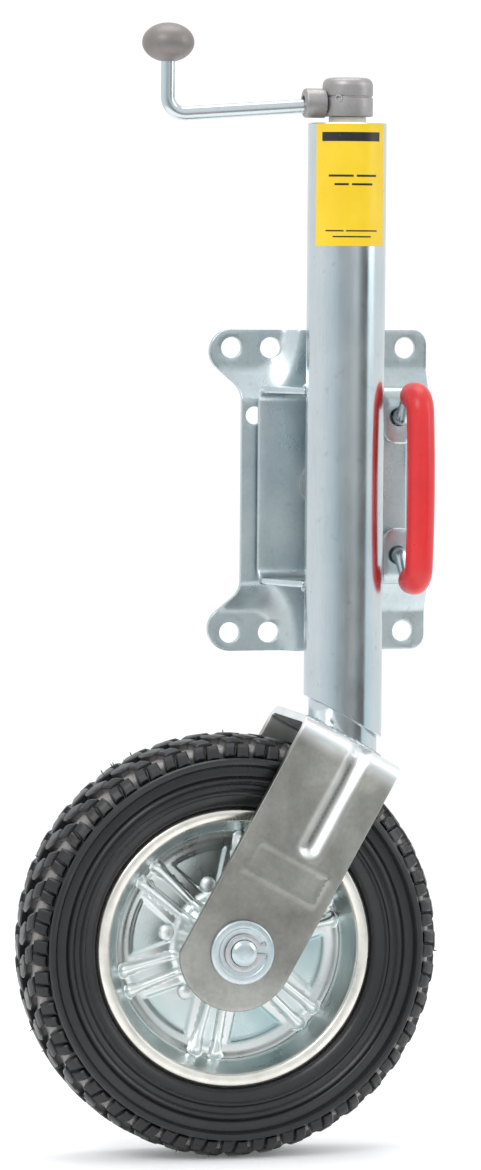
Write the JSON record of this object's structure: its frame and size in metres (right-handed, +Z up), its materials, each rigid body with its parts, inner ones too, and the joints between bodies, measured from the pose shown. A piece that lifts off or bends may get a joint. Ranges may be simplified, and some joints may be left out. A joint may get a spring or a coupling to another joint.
{
  "type": "swing-up trailer jockey wheel",
  "caption": "Bolt-on swing-up trailer jack: pressed plate, swivel bracket, screw leg in a zinc tube, crank, red pull handle and a raked fork with a rubber-tyred wheel.",
  "frame": {"origin": "centre of the four corner bolt holes, in the plane of the pads that lie on the drawbar", "axes": "+Y out of the pads into the drawbar, +Z up along the tube towards the crank, +X along the drawbar towards the pull handle"},
  "size_m": [0.273, 0.1208, 0.6938],
  "materials": {
    "zinc_bright": "bright zinc plate with a blue-white cast, satin",
    "zinc_brushed": "dull brushed zinc plate",
    "rim_zinc": "bright zinc plate on pressed sheet",
    "plain_steel": "plated steel",
    "cast_grey": "satin grey casting",
    "knob_grey": "satin taupe grey moulding",
    "brass": "machined",
    "nylon": "natural nylon",
    "label_yellow": "printed vinyl film, no lettering",
    "red_vinyl": "dipped soft vinyl, semi-gloss",
    "tyre_rubber": "moulded black rubber with dusty tread"
  },
  "bodies": {
    "mount": {"mounting_plate": "zinc_bright", "pivot_bolt": "plain_steel", "pivot_spacer": "nylon", "pivot_washer": "plain_steel", "pivot_nut": "plain_steel"},
    "column": {"swivel_bracket": "zinc_bright", "outer_tube": "zinc_bright", "tube_cap": "nylon", "thrust_race_lower": "plain_steel", "thrust_race_upper": "plain_steel", "thrust_ball_cage": "brass", "information_label": "label_yellow", "pin_spring_upper": "plain_steel", "pin_spring_lower": "plain_steel"},
    "crank": {"crank_hub": "cast_grey", "lifting_screw": "plain_steel", "hub_roll_pin": "plain_steel", "crank_rod": "zinc_bright", "knob_push_ring": "plain_steel"},
    "knob": {"crank_knob": "knob_grey"},
    "handle": {"handle_rod": "zinc_bright", "handle_grip": "red_vinyl", "pin_collar_upper": "plain_steel", "pin_collar_lower": "plain_steel"},
    "leg": {"screw_nut": "brass"},
    "fork": {"inner_tube": "zinc_bright", "fork_yoke": "zinc_brushed", "wheel_axle": "zinc_bright", "axle_washer": "zinc_bright", "axle_clip": "plain_steel"},
    "wheel": {"tyre": "tyre_rubber", "rim_front": "rim_zinc", "rim_front_cup": "rim_zinc", "rim_front_wall": "rim_zinc", "rim_back": "rim_zinc", "rim_back_cup": "rim_zinc", "rim_back_wall": "rim_zinc", "hub_tube": "plain_steel", "hub_bush_front": "nylon", "hub_bush_back": "nylon", "rim_rivet_1": "plain_steel", "rim_rivet_2": "plain_steel", "rim_rivet_3": "plain_steel", "rim_rivet_4": "plain_steel", "rim_rivet_5": "plain_steel", "rim_rivet_6": "plain_steel"}
  },
  "joints": [
    {"name": "bracket_swing", "type": "hinge", "parent": "mount", "child": "column", "pos_m": [0, -0.017, 0.004], "axis": [0, 1, 0], "range_deg": [-90, 0]},
    {"name": "handle_pull", "type": "slide", "parent": "column", "child": "handle", "axis": [0, -1, 0], "range_m": [-0.008, 0.002], "stiffness_N_per_m": 3000, "springref_m": -0.014, "deforming": ["pin_spring_upper", "pin_spring_lower"]},
    {"name": "crank_turn", "type": "hinge", "parent": "column", "child": "crank", "pos_m": [0, -0.07, 0.24], "axis": [0, 0, 1], "range_deg": [0, 14400]},
    {"name": "knob_spin", "type": "hinge", "parent": "crank", "child": "knob", "pos_m": [-0.113, -0.07, 0.2758], "axis": [0, 0, 1], "continuous": true},
    {"name": "leg_extend", "type": "slide", "parent": "column", "child": "leg", "axis": [0, 0, -1], "range_m": [0, 0.2]},
    {"name": "fork_swivel", "type": "hinge", "parent": "leg", "child": "fork", "pos_m": [0, -0.07, -0.15], "axis": [0, 0, 1], "range_deg": [-50, 50]},
    {"name": "wheel_spin", "type": "hinge", "parent": "fork", "child": "wheel", "pos_m": [-0.073, -0.07, -0.276], "axis": [0, 1, 0], "continuous": true}
  ],
  "couplings": [
    {"joint": "crank_turn", "follows": "leg_extend", "rad_per_m": 1256.6}
  ]
}
